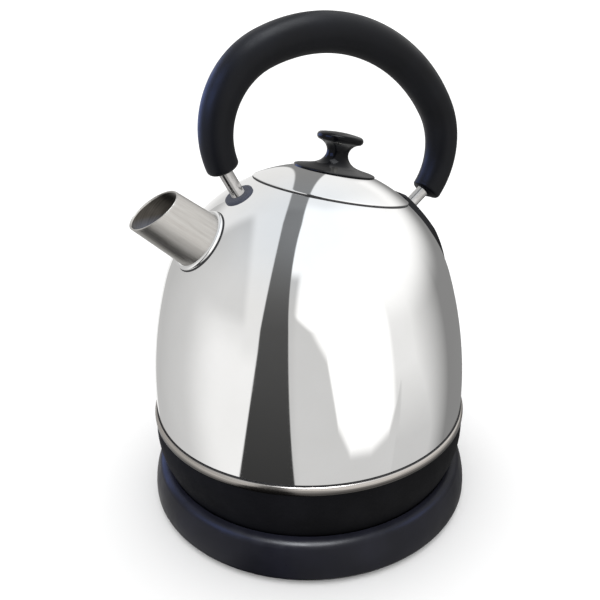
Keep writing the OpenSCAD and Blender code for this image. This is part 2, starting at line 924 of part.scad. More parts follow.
module post_nuts() {
    top = dome_r - shell_wall - 0.4 - inner_washer_t;
    color(STEEL) for (side = [-1, 1]) post_frame(side) difference() {
        translate([0, 0, top - nut_t]) cylinder(r = nut_r, h = nut_t, $fn = 6);
        rod(post_stud_r + 0.05, top - nut_t - 1, top + 1);
    }
}

// ---------- switch ----------

module pilot_lamp() {
    skirt_here = skirt_at(switch_z);
    color(AMBER) rotate([0, 0, lamp_turn]) translate([0, 0, switch_z]) rotate([0, 90, 0]) {
        rod(lamp_r, skirt_here - 6, skirt_here + 0.4);
        rod(lamp_r + 1, skirt_here - 8, skirt_here - skirt_wall - 0.6);
    }
}

module switch_pin() {
    color(STEEL) translate([switch_x, switch_w / 2 + 4, switch_z]) rotate([90, 0, 0])
        cylinder(r = switch_bore, h = switch_w + 8);
}

module switch_paddle() {
    color(GLOSS_BLACK) difference() {
        union() {
            translate([switch_x, switch_w / 2 - GAP, switch_z]) rotate([90, 0, 0])
                cylinder(r = switch_hub_r, h = switch_w - 2 * GAP);
            translate([0, switch_w / 2 - 2 * GAP, 0]) rotate([90, 0, 0])
                linear_extrude(height = switch_w - 4 * GAP) {
                    polygon([
                        [switch_x, switch_z - switch_hub_r], [switch_tip - 3, switch_z - 4],
                        [switch_tip, switch_z - 2], [switch_tip, switch_z + 0.5],
                        [switch_tip - 6, switch_z + 1.5], [switch_tip - 9, switch_z + 5],
                        [switch_x + 2, switch_z + 5], [switch_x, switch_z + switch_hub_r]
                    ]);
                }
        }
        translate([switch_x, 30, switch_z]) rotate([90, 0, 0])
            cylinder(r = switch_bore + RUN, h = 60);
    }
}

module trip_lever() {
    color(IVORY) difference() {
        translate([switch_x - 18, -4, switch_z - 1.2]) cube([15, 8, 2.4]);
        translate([switch_x, 30, switch_z]) rotate([90, 0, 0])
            cylinder(r = switch_hub_r, h = 60);
    }
}

// ---------- lid ----------

module lid_cap() {
    color(STEEL) lid_frame() difference() {
        intersection() {
            difference() {
                sphere(r = lid_out, $fn = 200);
                sphere(r = lid_in, $fn = 200);
            }
            rod(lid_r, 40, 100);
        }
        rod(knob_screw_r + 0.2, 40, 100);
    }
}

module lid_liner() {
    color(BRUSHED) lid_frame() {
        rod(liner_r, liner_low, liner_low + liner_wall);
        tube(liner_r, liner_r - liner_wall, liner_low, liner_top);
    }
}

module lid_seal() {
    color(SILICONE) lid_frame() rotate_extrude() {
        translate([liner_r, seal_low]) square([0.6, seal_high - seal_low]);
        translate([liner_r, seal_low]) square([opening_r - seat_wall - GAP - liner_r, 0.9]);
        translate([liner_r, seal_high - 0.9]) square([opening_r - seat_wall - GAP - liner_r, 0.9]);
    }
}

module lid_knob() {
    color(GLOSS_BLACK) lid_frame() difference() {
        rotate_extrude() {
            // flange with a thin rounded edge
            polygon([
                [0, 70], [knob_flange_r, 70], [knob_flange_r, knob_edge_n - 0.6],
                [knob_flange_r - 0.5, knob_edge_n], [knob_foot_r, knob_foot_n], [0, knob_foot_n]
            ]);
            // waisted neck
            difference() {
                translate([0, knob_foot_n - 1])
                    square([knob_neck_r + neck_arc_r, knob_cap_n - knob_foot_n]);
                translate([knob_neck_r + neck_arc_r, neck_arc_n]) circle(r = neck_arc_r);
            }
            // cap with a round edge and a low crown
            translate([knob_cap_r - knob_cap_edge, knob_cap_n]) circle(r = knob_cap_edge);
            translate([0, knob_cap_n - knob_cap_edge])
                square([knob_cap_r - knob_cap_edge, 2 * knob_cap_edge]);
            intersection() {
                translate([0, knob_cap_n + knob_cap_edge + 1 - knob_crown_r])
                    circle(r = knob_crown_r, $fn = 300);
                translate([0, knob_cap_n]) square([knob_cap_r - knob_cap_edge, 6]);
            }
        }
        sphere(r = lid_out, $fn = 200);
        rod(knob_bore, 60, knob_bore_top);
    }
}

module knob_screw() {
    head = sqrt(lid_in * lid_in - 16) - 0.1;
    color(STEEL) lid_frame() {
        rod(4, head - 2, head);
        rod(knob_screw_r, head, knob_bore_top - 2);
    }
}

base_cover();
base_plate();
base_feet();
base_screws();
cord_gland();
base_socket();
socket_contacts();
socket_spring();
socket_shutter();
skirt();
bottom_cover();
bottom_screws();
floor_studs();
connector_body();
connector_pins();
control_unit();
control_screws();
bimetal_discs();
heating_element();
heat_plate();
vessel_floor();
rim_ring();
rim_gasket();
body_shell();
lid_seat();
steam_tube();
tube_seal();
gauge_frame();
gauge_window();
gauge_seal();
spout();
spout_collar();
spout_filter();
handle_posts();
handle_grip();
front_washer();
inner_washers();
post_nuts();
pilot_lamp();
switch_pin();
switch_paddle();
trip_lever();
lid_cap();
lid_liner();
lid_seal();
lid_knob();
knob_screw();
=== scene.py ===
import math

import bmesh
import bpy
from mathutils import Matrix, Vector


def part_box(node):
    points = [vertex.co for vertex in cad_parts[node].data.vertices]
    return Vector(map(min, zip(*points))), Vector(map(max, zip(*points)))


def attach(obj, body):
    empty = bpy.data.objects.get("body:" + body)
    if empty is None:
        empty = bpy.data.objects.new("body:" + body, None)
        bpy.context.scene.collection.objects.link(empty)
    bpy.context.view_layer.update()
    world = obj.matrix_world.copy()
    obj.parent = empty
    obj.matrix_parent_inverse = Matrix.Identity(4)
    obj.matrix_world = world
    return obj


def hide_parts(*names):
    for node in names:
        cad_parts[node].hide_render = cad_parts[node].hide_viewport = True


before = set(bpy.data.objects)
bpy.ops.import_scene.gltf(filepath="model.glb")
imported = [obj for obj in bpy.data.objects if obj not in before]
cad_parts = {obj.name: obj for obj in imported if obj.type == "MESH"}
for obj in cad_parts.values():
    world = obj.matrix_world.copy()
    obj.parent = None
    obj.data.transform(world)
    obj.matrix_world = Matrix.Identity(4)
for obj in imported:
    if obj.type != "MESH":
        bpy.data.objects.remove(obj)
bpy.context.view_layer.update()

MM = 0.001

# ---------------------------------------------------------------- dimensions, in millimetres
DOME_R = 83.4
DOME_Z = 111.3
FLANK_R = 246.5
FLANK_ANGLE = 17.3
SHELL_WALL = 0.8
LID_TILT = 12.3
LID_R = 43.2
LID_IN = DOME_R + 0.3
LID_OUT = LID_IN + 0.7
OPENING_R = 40.2
POST_ANGLE = 40.5
POST_R = 3.6
SPOUT_ANGLE = 40.6
SPOUT_ROOT_R = 15.0
SPOUT_MOUTH_R = 13.5
SPOUT_WALL = 0.8
SPOUT_TOP = 107.7
SPOUT_LOW = 116.0
COLLAR_R = 17.1
COLLAR_EDGE = 1.25
ARCH_HALF = 72.1
ARCH_FRONT_N = 99.3
ARCH_REAR_N = 95.4
ARCH_PEAK_N = 150.9
ARCH_LEAN = 3.0
ARCH_TOP_R = 88.3
ARCH_END_R = 40.6
GRIP_LOW_N = 75.9
GRIP_END_A = 8.3
GRIP_TOP_A = 10.1
GRIP_END_B = 9.4
GRIP_TOP_B = 11.4
GRIP_SWELL = 1.3
GRIP_SKIN = 0.08
RIM_R = 90.3
RIM_Z = 56.2
BEAD_R = 2.2
BEAD_BAND = 1.3
RING_IN = 86.0
RING_TOP = RIM_Z + 1.2
SKIRT_TOP = RIM_Z - 2.5
GAUGE_SLOT_W = 9.3
GAUGE_SLOT_LOW = 76.0
GAUGE_SLOT_HIGH = 130.0

POST_HOLE_R = 3.2
KNOB_HOLE_R = 2.2
GASKET_WIDTH = 2.1
CUT_FROM = 60
CUT_TO = 130

# segments of a turned piece
FINE = 256
MEDIUM = 128

# ---------------------------------------------------------------- frames

LID_FRAME = Matrix.Translation((0, 0, DOME_Z)) @ Matrix.Rotation(math.radians(LID_TILT), 4, "Y")
SPOUT_FRAME = Matrix.Translation((0, 0, DOME_Z)) @ Matrix.Rotation(math.radians(SPOUT_ANGLE - 90), 4, "Y")
WORLD_FRAME = Matrix.Identity(4)


def post_frame(side):
    """side is -1 for the front post and 1 for the rear one."""
    return LID_FRAME @ Matrix.Rotation(math.radians(side * POST_ANGLE), 4, "Y")


def sphere_height(radius, r):
    """Height of a sphere about the frame's origin, at the distance r from the frame's axis."""
    return math.sqrt(radius ** 2 - r ** 2)


# ---------------------------------------------------------------- mesh building

def arc(cx, cy, r, start, stop, steps):
    """Points on an arc, from start to stop in degrees."""
    angles = [math.radians(start + (stop - start) * i / steps) for i in range(steps + 1)]
    return [(cx + r * math.cos(a), cy + r * math.sin(a)) for a in angles]


def grid_mesh(name, rings, place=WORLD_FRAME, closed=True, sharp=35):
    """Mesh from rings of points in millimetres. With closed, the last ring joins the first one."""
    count, around = len(rings), len(rings[0])
    points = [place @ Vector(p) * MM for ring in rings for p in ring]
    faces = []
    for i in range(count if closed else count - 1):
        k = (i + 1) % count
        for j in range(around):
            m = (j + 1) % around
            faces.append((i * around + j, i * around + m, k * around + m, k * around + j))
    mesh = bpy.data.meshes.new(name)
    mesh.from_pydata([tuple(p) for p in points], [], faces)
    return finish_mesh(name, mesh, sharp)


def finish_mesh(name, mesh, sharp=35):
    """Welds, turns the faces outwards, and shades the mesh smooth with sharp edges kept."""
    bm = bmesh.new()
    bm.from_mesh(mesh)
    bmesh.ops.remove_doubles(bm, verts=bm.verts, dist=1e-7)
    bmesh.ops.recalc_face_normals(bm, faces=bm.faces)
    bm.to_mesh(mesh)
    bm.free()
    mesh.polygons.foreach_set("use_smooth", [True] * len(mesh.polygons))
    mesh.set_sharp_from_angle(angle=math.radians(sharp))
    thing = bpy.data.objects.new(name, mesh)
    bpy.context.scene.collection.objects.link(thing)
    return thing


def lathe(name, profile, place=WORLD_FRAME, segments=FINE, sharp=35):
    """Turns a closed outline of (radius, height) points about the frame's axis."""
    rings = []
    for r, z in profile:
        ring = []
        for j in range(segments):
            a = 2 * math.pi * j / segments
            ring.append((r * math.cos(a), r * math.sin(a), z))
        rings.append(ring)
    return grid_mesh(name, rings, place, True, sharp)


def cutter(name, outline, low, high, place):
    """Prism with the given (x, y) outline, used to cut a hole and then removed."""
    mesh = bpy.data.meshes.new(name)
    count = len(outline)
    points = [place @ Vector((x, y, z)) * MM for z in (low, high) for x, y in outline]
    faces = [(j, (j + 1) % count, count + (j + 1) % count, count + j) for j in range(count)]
    faces += [tuple(reversed(range(count))), tuple(range(count, 2 * count))]
    mesh.from_pydata([tuple(p) for p in points], [], faces)
    return finish_mesh(name, mesh)


def cut(thing, cutters):
    """Cuts the cutters out of thing, and removes them."""
    for tool in cutters:
        modifier = thing.modifiers.new("cut", "BOOLEAN")
        modifier.operation = "DIFFERENCE"
        modifier.solver = "EXACT"
        modifier.object = tool
    bpy.context.view_layer.update()
    depsgraph = bpy.context.evaluated_depsgraph_get()
    made = bpy.data.meshes.new_from_object(thing.evaluated_get(depsgraph))
    thing.modifiers.clear()
    thing.data = made
    for tool in cutters:
        bpy.data.objects.remove(tool)


def set_normals(thing, rule, limit=0.86):
    """Gives the mesh exact shading normals where rule(point) has one that agrees with the face."""
    mesh = thing.data
    mesh.polygons.foreach_set("use_smooth", [True] * len(mesh.polygons))
    normals = [None] * len(mesh.loops)
    for face in mesh.polygons:
        for loop in face.loop_indices:
            exact = rule(mesh.vertices[mesh.loops[loop].vertex_index].co)
            if exact is not None and exact.dot(face.normal) < -limit:
                exact = -exact
            if exact is None or exact.dot(face.normal) < limit:
                exact = face.normal
            normals[loop] = tuple(exact)
    mesh.normals_split_custom_set(normals)


# ---------------------------------------------------------------- materials

class Paint:
    """A node material under construction. Lengths in it are in metres."""

    def __init__(self, name):
        self.material = bpy.data.materials.new(name)
        self.material.use_nodes = True
        self.tree = self.material.node_tree
        self.shader = self.tree.nodes["Principled BSDF"]
        self.where = self.tree.nodes.new("ShaderNodeTexCoord").outputs["Object"]

    def node(self, kind, **values):
        made = self.tree.nodes.new("ShaderNode" + kind)
        for key, value in values.items():
            setattr(made, key, value)
        return made

    def link(self, source, target):
        self.tree.links.new(source, target)

    def stretched(self, scale, turn=0.0):
        """Object coordinates scaled by (x, y, z) after a turn about Y, in degrees."""
        turned = self.node("Mapping", vector_type="POINT")
        turned.inputs["Rotation"].default_value = (0, math.radians(turn), 0)
        scaled = self.node("Mapping", vector_type="POINT")
        scaled.inputs["Scale"].default_value = scale
        self.link(self.where, turned.inputs["Vector"])
        self.link(turned.outputs["Vector"], scaled.inputs["Vector"])
        return scaled.outputs["Vector"]

    def noise(self, scale, detail=3.0, rough=0.5, where=None):
        made = self.node("TexNoise")
        made.inputs["Scale"].default_value = scale
        made.inputs["Detail"].default_value = detail
        made.inputs["Roughness"].default_value = rough
        self.link(self.where if where is None else where, made.inputs["Vector"])
        return made.outputs["Fac"]

    def spread(self, value, low, high, start=0.3, stop=0.7):
        """Maps a 0 to 1 pattern to the range from low to high."""
        made = self.node("MapRange")
        made.inputs["From Min"].default_value = start
        made.inputs["From Max"].default_value = stop
        made.inputs["To Min"].default_value = low
        made.inputs["To Max"].default_value = high
        self.link(value, made.inputs["Value"])
        return made.outputs["Result"]

    def colours(self, value, first, second, start=0.3, stop=0.7):
        """Colour ramp between two colours over a 0 to 1 pattern."""
        made = self.node("ValToRGB")
        made.color_ramp.elements[0].position = start
        made.color_ramp.elements[0].color = (*first, 1)
        made.color_ramp.elements[1].position = stop
        made.color_ramp.elements[1].color = (*second, 1)
        self.link(value, made.inputs["Fac"])
        return made.outputs["Color"]

    def mix(self, factor, first, second):
        made = self.node("Mix", data_type="RGBA")
        self.link(factor, made.inputs["Factor"])
        self.link(first, made.inputs["A"])
        self.link(second, made.inputs["B"])
        return made.outputs["Result"]

    def math(self, operation, first, second):
        made = self.node("Math", operation=operation)
        for slot, value in ((0, first), (1, second)):
            if isinstance(value, (int, float)):
                made.inputs[slot].default_value = value
            else:
                self.link(value, made.inputs[slot])
        return made.outputs["Value"]

    def bump(self, *layers):
        """layers are (pattern, height in metres). They add up, one bump after another."""
        below = None
        for pattern, height in layers:
            made = self.node("Bump")
            made.inputs["Strength"].default_value = 1.0
            made.inputs["Distance"].default_value = height
            self.link(pattern, made.inputs["Height"])
            if below is not None:
                self.link(below, made.inputs["Normal"])
            below = made.outputs["Normal"]
        self.link(below, self.shader.inputs["Normal"])

    def set(self, **values):
        """Constants on the shader's own sockets, with _ for a space."""
        for key, value in values.items():
            self.shader.inputs[key.replace("_", " ")].default_value = value

    def edge_wear(self, width):
        """0 to 1 mask that is bright along convex edges."""
        made = self.node("Bevel", samples=4)
        made.inputs["Radius"].default_value = width
        geometry = self.node("NewGeometry")
        dot = self.node("VectorMath", operation="DOT_PRODUCT")
        self.link(made.outputs["Normal"], dot.inputs[0])
        self.link(geometry.outputs["Normal"], dot.inputs[1])
        return self.spread(dot.outputs["Value"], 1.0, 0.0, 0.75, 0.99)


def plastic(name, dark, light, rough, grain, grain_height, specular=0.5, wear=0.0):
    """Moulded plastic: two tones, mould grain, and edges rubbed a little smoother."""
    paint = Paint(name)
    cloud = paint.noise(45, 3)
    tone = paint.colours(cloud, dark, light)
    fine = paint.noise(grain, 2, 0.6)
    roughness = paint.spread(paint.noise(120, 4, 0.6), rough - 0.06, rough + 0.07)
    if wear:
        edges = paint.edge_wear(0.0012)
        worn = paint.colours(fine, light, tuple(min(1, c * 2.2) for c in light))
        tone = paint.mix(edges, tone, worn)
        roughness = paint.math("SUBTRACT", roughness, paint.math("MULTIPLY", edges, wear))
    paint.link(tone, paint.shader.inputs["Base Color"])
    paint.link(roughness, paint.shader.inputs["Roughness"])
    paint.bump((fine, grain_height))
    paint.set(Specular_IOR_Level=specular)
    return paint.material


def rubber(name, dark, light):
    """Moulded rubber: dull, with a dusty bloom and a fine grain."""
    paint = Paint(name)
    dust = paint.noise(160, 5, 0.65)
    paint.link(paint.colours(dust, dark, light), paint.shader.inputs["Base Color"])
    paint.link(paint.spread(dust, 0.5, 0.68), paint.shader.inputs["Roughness"])
    paint.bump((paint.noise(2200, 2), 0.00002))
    return paint.material


def mirror_steel(name, low=0.02, high=0.06):
    """Polished stainless steel with faint wiping marks and slow waves from pressing."""
    paint = Paint(name)
    haze = paint.noise(22, 4, 0.6)
    wipe = paint.noise(9, 5, 0.7, paint.stretched((6, 6, 60)))
    tone = paint.colours(haze, (0.90, 0.90, 0.895), (0.95, 0.95, 0.95))
    paint.link(tone, paint.shader.inputs["Base Color"])
    smudge = paint.math("MULTIPLY", haze, wipe)
    paint.link(paint.spread(smudge, low, high, 0.15, 0.4), paint.shader.inputs["Roughness"])
    paint.bump((paint.noise(14, 1), 0.000012), (wipe, 0.0000004))
    paint.set(Metallic=1.0)
    return paint.material


def height_of(paint):
    """Elevation of the point, in metres."""
    parts = paint.node("SeparateXYZ")
    paint.link(paint.where, parts.inputs["Vector"])
    return parts.outputs["Z"]


def bead_steel(name):
    """Rolled steel bead with faint lines along it. Its lower half has a darker tone, which is painted shade
    for the darker surroundings that it mirrors below.
    """
    paint = Paint(name)
    lines = paint.noise(1.0, 4, 0.6, paint.stretched((30, 30, 2600)))
    # upper is the lit tone and lower is a painted-shade copy of the same steel; rise blends from the shaded
    # lower half to the lit upper half.
    upper = paint.colours(lines, (0.42, 0.39, 0.36), (0.58, 0.55, 0.52))
    lower = paint.colours(lines, (0.07, 0.065, 0.06), (0.13, 0.12, 0.115))
    rise = paint.spread(height_of(paint), 0.0, 1.0, (RIM_Z - 1.1) * MM, (RIM_Z + 1.0) * MM)
    paint.link(paint.mix(rise, lower, upper), paint.shader.inputs["Base Color"])
    paint.link(paint.spread(lines, 0.14, 0.24), paint.shader.inputs["Roughness"])
    paint.bump((lines, 0.000003))
    paint.set(Metallic=1.0)
    return paint.material


def bore_steel(name):
    """Inside of the spout, brushed across. Its higher parts get a dark brown-grey painted shade, and its
    lower parts get a lighter, cooler painted reflection.
    """
    paint = Paint(name)
    lines = paint.noise(1.0, 5, 0.7, paint.stretched((60, 60, 1500), 90 - SPOUT_ANGLE))
    # Painted light: a dark brown-grey painted shade higher up, and a lighter bluish painted reflection
    # lower down; low blends them by height.
    shaded_high_tone = paint.colours(lines, (0.045, 0.042, 0.036), (0.11, 0.10, 0.09))
    lip = paint.colours(lines, (0.13, 0.15, 0.21), (0.30, 0.34, 0.44))
    low = paint.spread(height_of(paint), 1.0, 0.0, 0.166, 0.178)
    paint.link(paint.mix(low, shaded_high_tone, lip), paint.shader.inputs["Base Color"])
    paint.link(paint.spread(lines, 0.3, 0.45), paint.shader.inputs["Roughness"])
    paint.bump((lines, 0.000006))
    paint.set(Metallic=1.0)
    return paint.material


def brushed_steel(name, tone_low, tone_high, rough, turn, scale, height=0.000004):
    """Satin steel with brush lines along the stretched direction."""
    paint = Paint(name)
    lines = paint.noise(1.0, 5, 0.7, paint.stretched(scale, turn))
    cloud = paint.noise(60, 3)
    tone = paint.mix(cloud, paint.colours(lines, tone_low, tone_high),
                     paint.colours(lines, tuple(c * 0.9 for c in tone_low), tone_high))
    paint.link(tone, paint.shader.inputs["Base Color"])
    paint.link(paint.spread(lines, rough - 0.05, rough + 0.1), paint.shader.inputs["Roughness"])
    paint.bump((lines, height))
    paint.set(Metallic=1.0)
    return paint.material


def bare_metal(name, low, high, rough):
    """Small turned or cast metal parts: tone and roughness vary, with fine tool marks."""
    paint = Paint(name)
    patch = paint.noise(300, 4, 0.6)
    paint.link(paint.colours(patch, low, high), paint.shader.inputs["Base Color"])
    paint.link(paint.spread(patch, rough - 0.08, rough + 0.1), paint.shader.inputs["Roughness"])
    paint.bump((paint.noise(1800, 3), 0.000008))
    paint.set(Metallic=1.0)
    return paint.material


def clear_plastic(name, tint, rough):
    """Clear moulded window with a little surface haze."""
    paint = Paint(name)
    haze = paint.noise(150, 4)
    paint.link(paint.colours(haze, tint, tuple(min(1, c * 1.08) for c in tint)),
               paint.shader.inputs["Base Color"])
    paint.link(paint.spread(haze, rough - 0.02, rough + 0.05), paint.shader.inputs["Roughness"])
    paint.bump((paint.noise(900, 2), 0.000004))
    paint.set(Transmission_Weight=0.85, IOR=1.49)
    return paint.material


def make_materials():
    return {
        "satin_black": plastic("satin_black", (0.0025, 0.0025, 0.0035), (0.004, 0.004, 0.006),
                               0.33, 2600, 0.000006, 0.14, 0.08),
        "grip_black": plastic("grip_black", (0.003, 0.0032, 0.0042), (0.0045, 0.005, 0.007),
                              0.40, 2400, 0.00001, 0.14),
        "skirt_black": plastic("skirt_black", (0.003, 0.003, 0.0036), (0.005, 0.005, 0.006),
                               0.62, 2000, 0.00002, 0.06),
        "underside_black": plastic("underside_black", (0.008, 0.008, 0.009), (0.014, 0.014, 0.016),
                                   0.6, 1600, 0.00003, 0.3, 0.1),
        "socket_black": plastic("socket_black", (0.008, 0.008, 0.009), (0.014, 0.014, 0.015),
                                0.5, 1800, 0.00002, 0.3, 0.1),
        "gloss_black": plastic("gloss_black", (0.0015, 0.0015, 0.002), (0.003, 0.003, 0.004),
                               0.12, 500, 0.000004, 0.1),
        "gauge_black": plastic("gauge_black", (0.002, 0.002, 0.003), (0.004, 0.004, 0.006),
                               0.22, 700, 0.000006, 0.2, 0.06),
        "ivory_plastic": plastic("ivory_plastic", (0.62, 0.58, 0.46), (0.72, 0.68, 0.56),
                                 0.45, 1500, 0.00002, 0.5),
        "lamp_amber": clear_plastic("lamp_amber", (0.90, 0.30, 0.05), 0.2),
        "gauge_clear": clear_plastic("gauge_clear", (0.80, 0.84, 0.86), 0.08),
        "foot_rubber": rubber("foot_rubber", (0.02, 0.02, 0.022), (0.045, 0.045, 0.05)),
        "washer_rubber": rubber("washer_rubber", (0.040, 0.046, 0.070), (0.065, 0.072, 0.105)),
        "gasket_rubber": rubber("gasket_rubber", (0.012, 0.012, 0.014), (0.03, 0.03, 0.034)),
        "silicone": rubber("silicone", (0.60, 0.60, 0.58), (0.72, 0.72, 0.70)),
        "plated_screws": bare_metal("plated_screws", (0.55, 0.55, 0.53), (0.75, 0.74, 0.70), 0.3),
        "contact_brass": bare_metal("contact_brass", (0.62, 0.42, 0.16), (0.82, 0.60, 0.28), 0.28),
        "element_aluminium": bare_metal("element_aluminium", (0.55, 0.56, 0.57), (0.74, 0.75, 0.76), 0.42),
        "polished_steel": mirror_steel("polished_steel"),
        "rim_steel": bead_steel("rim_steel"),
        "spout_bore": bore_steel("spout_bore"),
        "post_steel": brushed_steel("post_steel", (0.40, 0.39, 0.38), (0.60, 0.59, 0.58),
                                    0.12, 0, (160, 160, 160), 0.0000005),
        "brushed_steel": brushed_steel("brushed_steel", (0.60, 0.60, 0.59), (0.80, 0.80, 0.79),
                                       0.3, 0, (900, 900, 25)),
        "spout_steel": brushed_steel("spout_steel", (0.50, 0.48, 0.455), (0.62, 0.605, 0.58),
                                     0.34, 90 - SPOUT_ANGLE, (700, 700, 9), 0.0000015),
    }


MATERIALS = make_materials()


def dress(thing, slot, body, *replaced):
    """Gives a new piece the material of its slot, puts it in its body, and hides the CAD nodes that it
    stands for.
    """
    thing.data.materials.clear()
    thing.data.materials.append(MATERIALS[slot])
    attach(thing, body)
    if replaced:
        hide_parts(*replaced)
    return thing


def dress_nodes():
    """Every CAD node takes the procedural material of its own slot."""
    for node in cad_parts.values():
        for place in node.material_slots:
            slot = place.material.name.split(".")[0]
            place.material = MATERIALS[slot]


def keep_off_steel(*things):
    """Leaves small pieces out of the picture that the polished steel mirrors."""
    for thing in things:
        thing.visible_glossy = False


# ---------------------------------------------------------------- kettle body

FLANK_X = -(FLANK_R - DOME_R) * math.cos(math.radians(FLANK_ANGLE))
FLANK_Z = DOME_Z - (FLANK_R - DOME_R) * math.sin(math.radians(FLANK_ANGLE))
SHELL_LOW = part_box("body_shell")[0].z / MM


def body_outline(off, first, steps_top, steps_low):
    """Outline of the body grown by off, from the elevation first down to the shell's foot."""
    low = math.degrees(math.asin((SHELL_LOW - FLANK_Z) / (FLANK_R + off)))
    upper = arc(0, DOME_Z, DOME_R + off, first, FLANK_ANGLE, steps_top)
    lower = arc(FLANK_X, FLANK_Z, FLANK_R + off, FLANK_ANGLE, low, steps_low)
    return upper + lower[1:]


def body_normal(co):
    """Outward normal at a point of the body's inner or outer face, or None away from both."""
    point = Vector(co) / MM
    r = math.hypot(point.x, point.y)
    rise = point.z - DOME_Z
    if rise >= r * math.tan(math.radians(FLANK_ANGLE)):
        flat, up, radius = r, rise, DOME_R
    else:
        flat, up, radius = r - FLANK_X, point.z - FLANK_Z, FLANK_R
    length = math.hypot(flat, up)
    off = length - radius
    if min(abs(off), abs(off + SHELL_WALL)) > 0.03 or r < 1:
        return None
    return Vector((point.x / r * flat, point.y / r * flat, up)) / length


def circle(r, count=96):
    return arc(0, 0, r, 0, 360 - 360 / count, count - 1)


def make_body():
    """Polished shell, with its lid opening, spout hole, two post holes and gauge slot cut out."""
    outer = body_outline(0, 85, 88, 40)
    inner = body_outline(-SHELL_WALL, 85, 60, 26)
    shell = lathe("steel_body", outer + inner[::-1], segments=FINE)
    slot = arc(0, GAUGE_SLOT_HIGH, GAUGE_SLOT_W / 2, 0, 180, 24)
    slot += arc(0, GAUGE_SLOT_LOW, GAUGE_SLOT_W / 2, 180, 360, 24)
    rear = Matrix(((0, 0, 1, 0), (1, 0, 0, 0), (0, 1, 0, 0), (0, 0, 0, 1)))
    cut(shell, [
        cutter("c1", circle(OPENING_R, 192), 0, CUT_TO, LID_FRAME),
        cutter("c2", circle(SPOUT_ROOT_R - SPOUT_WALL), CUT_FROM, CUT_TO, SPOUT_FRAME),
        cutter("c3", circle(POST_HOLE_R, 48), CUT_FROM, CUT_TO, post_frame(-1)),
        cutter("c4", circle(POST_HOLE_R, 48), CUT_FROM, CUT_TO, post_frame(1)),
        cutter("c5", slot, 40, CUT_TO, rear),
    ])
    set_normals(shell, body_normal)
    return dress(shell, "polished_steel", "kettle", "body_shell")


def make_rim():
    """Bead round the foot of the body, and the lip of the gasket that shows above it."""
    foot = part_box("body_shell")[1].x / MM
    notch = foot + 0.05
    low = math.degrees(math.asin((SKIRT_TOP - RIM_Z + BEAD_BAND) / BEAD_R))
    high = math.degrees(math.acos((notch - RIM_R) / BEAD_R))
    outline = [(RING_IN, SKIRT_TOP)]
    outline += arc(RIM_R, RIM_Z - BEAD_BAND, BEAD_R, low, 0, 16)
    outline += arc(RIM_R, RIM_Z, BEAD_R, 0, high, 40)
    outline += [(notch, RING_TOP), (RING_IN, RING_TOP)]
    dress(lathe("rim_bead", outline), "rim_steel", "kettle", "rim_ring")

    lip_r = 0.28
    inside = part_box("rim_gasket")[1].x / MM - GASKET_WIDTH
    lip = [(inside, RING_TOP + 0.02), (notch + 0.1, RING_TOP + 0.02)]
    lip += arc(foot + lip_r, SHELL_LOW + 0.3, lip_r, -20, 180, 12)
    lip += [(foot - 0.05, SHELL_LOW - 0.02), (inside, SHELL_LOW - 0.02)]
    dress(lathe("gasket_lip", lip), "gasket_rubber", "kettle", "rim_gasket")


# ---------------------------------------------------------------- lid and knob

def make_lid():
    """Skin of the lid, with a rounded edge and the hole for the knob's screw."""
    edge = 0.35
    start = math.degrees(math.acos(KNOB_HOLE_R / LID_OUT))
    stop = math.degrees(math.acos(KNOB_HOLE_R / LID_IN))
    turn = math.degrees(math.acos((LID_R - edge) / (LID_OUT - edge)))
    middle = arc(0, 0, LID_OUT - edge, turn, turn, 1)[0]
    outline = arc(0, 0, LID_OUT, start, turn, 60)
    outline += arc(*middle, edge, turn, turn - 180, 12)[1:-1]
    outline += arc(0, 0, LID_IN, turn, stop, 40)
    lid = lathe("lid_skin", outline, LID_FRAME, FINE, 50)
    return dress(lid, "polished_steel", "lid", "lid_cap")


def make_lid_gap_shadow():
    """Dark ring that fills the gap under the edge of the lid: a painted shadow line for the shade in that
    gap.
    """
    inner, outer = LID_R - 1.5, LID_R + 0.1
    clear, bulge = 0.02, 0.12
    outline = [
        (inner, sphere_height(DOME_R, inner) + clear),
        (inner, sphere_height(LID_IN, inner)),
        (outer, sphere_height(LID_IN, outer) + bulge),
        (outer + bulge, sphere_height(DOME_R, outer) + 0.15),
        (outer, sphere_height(DOME_R, outer) + clear),
    ]
    # The dark rubber here is painted shadow under the lid's edge.
    dress(lathe("lid_gap_shadow", outline, LID_FRAME, FINE, 50), "gasket_rubber", "lid")


def smooth_curve(points, steps):
    """Catmull-Rom curve through points, with steps pieces between each pair."""
    made = []
    padded = [points[0]] + points + [points[-1]]
    for i in range(1, len(padded) - 2):
        p = [Vector(q) for q in padded[i - 1:i + 3]]
        for k in range(steps):
            t = k / steps
            made.append(tuple(0.5 * (2 * p[1] + (p[2] - p[0]) * t
                                     + (2 * p[0] - 5 * p[1] + 4 * p[2] - p[3]) * t * t
                                     + (3 * p[1] - p[0] - 3 * p[2] + p[3]) * t ** 3)))
    return made + [tuple(points[-1])]


